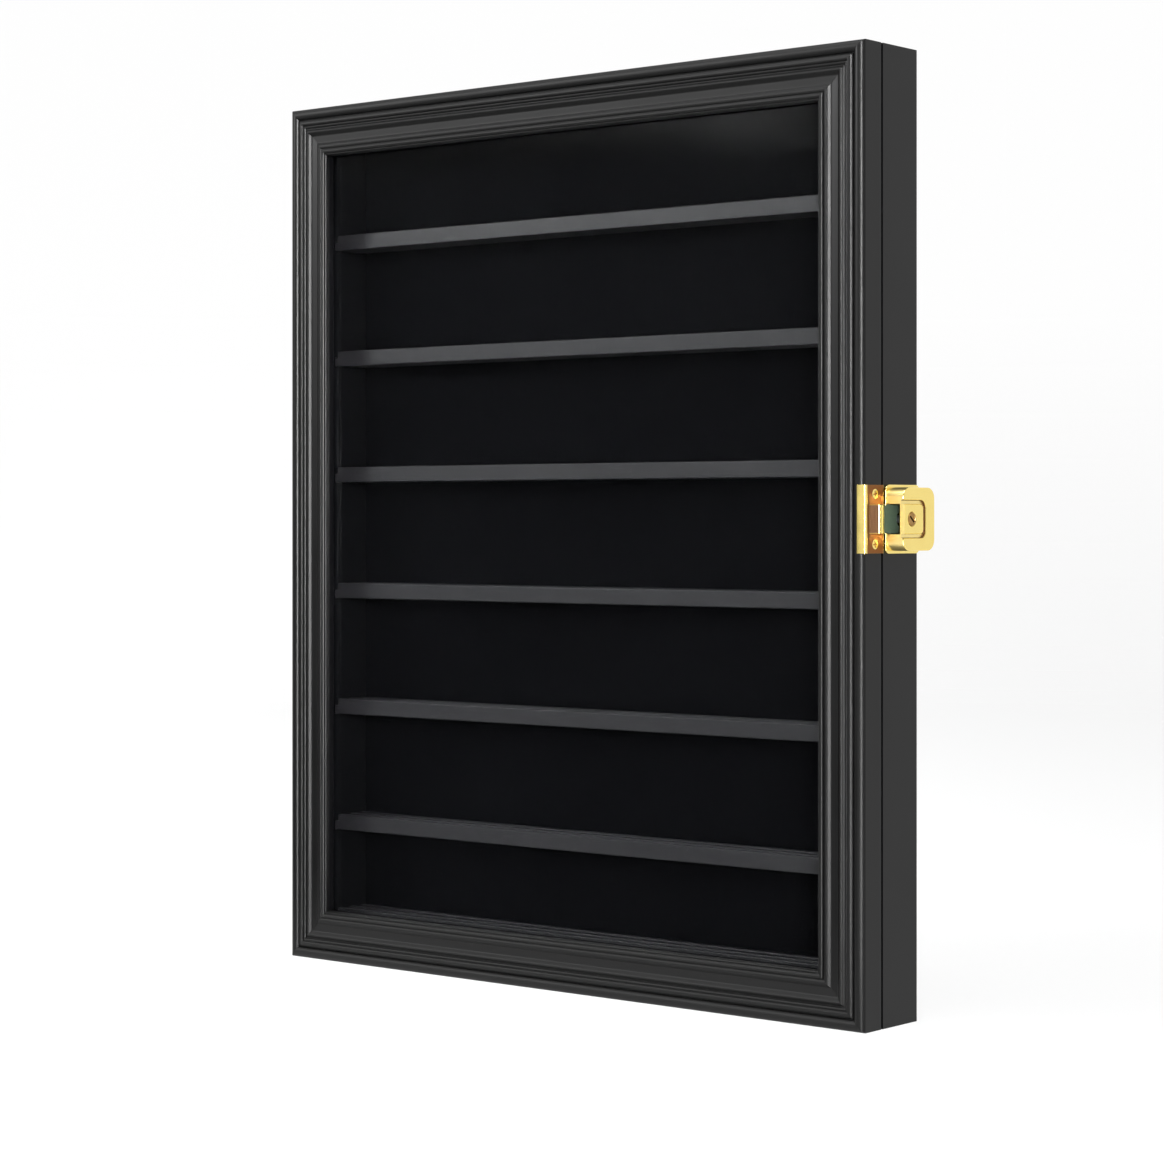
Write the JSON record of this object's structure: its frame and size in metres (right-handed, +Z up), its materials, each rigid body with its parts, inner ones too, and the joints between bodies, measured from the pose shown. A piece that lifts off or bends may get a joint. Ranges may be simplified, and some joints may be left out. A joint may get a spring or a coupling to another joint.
{
  "type": "coin display case",
  "caption": "Shallow wall case with a moulded, mitred and glazed door, grooved slide-in shelves for upright coins, butt hinges and a turning side lock.",
  "frame": {"origin": "middle of the base, on the surface the case stands on", "axes": "+Z up, -Y out of the glazed front towards the viewer, +Y into the wall, +X to the viewer's right where the lock is"},
  "size_m": [0.3735, 0.0451, 0.44],
  "materials": {
    "satin_black_wood": "satin black paint",
    "satin_black_moulding": "satin black paint on a run moulding",
    "satin_black_shelf": "satin black paint",
    "black_hardboard": "black faced hardboard",
    "black_felt": "pressed felt",
    "polished_brass": "polished",
    "plug_brass": "turned",
    "zinc_steel": "zinc plated",
    "clear_acrylic": "polished clear acrylic"
  },
  "bodies": {
    "case": {"case_side_left": "satin_black_wood", "case_side_right": "satin_black_wood", "case_top": "satin_black_wood", "case_bottom": "satin_black_wood", "case_corner_nails": "zinc_steel", "back_panel": "black_hardboard", "back_panel_screws": "zinc_steel", "felt_lining": "black_felt", "hanger_left": "zinc_steel", "hanger_right": "zinc_steel", "hanger_screws": "zinc_steel", "hinge_upper_case_leaf": "polished_brass", "hinge_lower_case_leaf": "polished_brass", "hinge_upper_pin": "polished_brass", "hinge_lower_pin": "polished_brass", "hinge_case_screws": "polished_brass", "lock_base_plate": "polished_brass", "lock_body": "polished_brass", "lock_screws": "zinc_steel"},
    "door": {"door_stile_left": "satin_black_moulding", "door_stile_right": "satin_black_moulding", "door_rail_top": "satin_black_moulding", "door_rail_bottom": "satin_black_moulding", "door_corner_nails": "zinc_steel", "door_pane": "clear_acrylic", "pane_bead_left": "satin_black_wood", "pane_bead_right": "satin_black_wood", "pane_bead_top": "satin_black_wood", "pane_bead_bottom": "satin_black_wood", "pane_bead_pins": "zinc_steel", "hinge_upper_door_leaf": "polished_brass", "hinge_lower_door_leaf": "polished_brass", "hinge_door_screws": "polished_brass", "strike_plate": "polished_brass", "strike_screws": "polished_brass"},
    "lock_plug": {"key_plug": "plug_brass", "lock_cam": "zinc_steel"},
    "shelf_1": {"shelf_1": "satin_black_shelf"},
    "shelf_2": {"shelf_2": "satin_black_shelf"},
    "shelf_3": {"shelf_3": "satin_black_shelf"},
    "shelf_4": {"shelf_4": "satin_black_shelf"},
    "shelf_5": {"shelf_5": "satin_black_shelf"},
    "shelf_6": {"shelf_6": "satin_black_shelf"},
    "shelf_7": {"shelf_7": "satin_black_shelf"}
  },
  "joints": [
    {"name": "door_hinge", "type": "hinge", "parent": "case", "child": "door", "pos_m": [-0.182, -0.0066, 0.22], "axis": [0, 0, -1], "range_deg": [0, 175]},
    {"name": "lock_turn", "type": "hinge", "parent": "case", "child": "lock_plug", "pos_m": [0.1795, 0.0032, 0.2275], "axis": [1, 0, 0], "range_deg": [0, 90]},
    {"name": "shelf_1_slide", "type": "slide", "parent": "case", "child": "shelf_1", "axis": [0, -1, 0], "range_m": [0, 0.0035]},
    {"name": "shelf_2_slide", "type": "slide", "parent": "case", "child": "shelf_2", "axis": [0, -1, 0], "range_m": [0, 0.0035]},
    {"name": "shelf_3_slide", "type": "slide", "parent": "case", "child": "shelf_3", "axis": [0, -1, 0], "range_m": [0, 0.0035]},
    {"name": "shelf_4_slide", "type": "slide", "parent": "case", "child": "shelf_4", "axis": [0, -1, 0], "range_m": [0, 0.0035]},
    {"name": "shelf_5_slide", "type": "slide", "parent": "case", "child": "shelf_5", "axis": [0, -1, 0], "range_m": [0, 0.0035]},
    {"name": "shelf_6_slide", "type": "slide", "parent": "case", "child": "shelf_6", "axis": [0, -1, 0], "range_m": [0, 0.0035]},
    {"name": "shelf_7_slide", "type": "slide", "parent": "case", "child": "shelf_7", "axis": [0, -1, 0], "range_m": [0, 0.0035]}
  ]
}
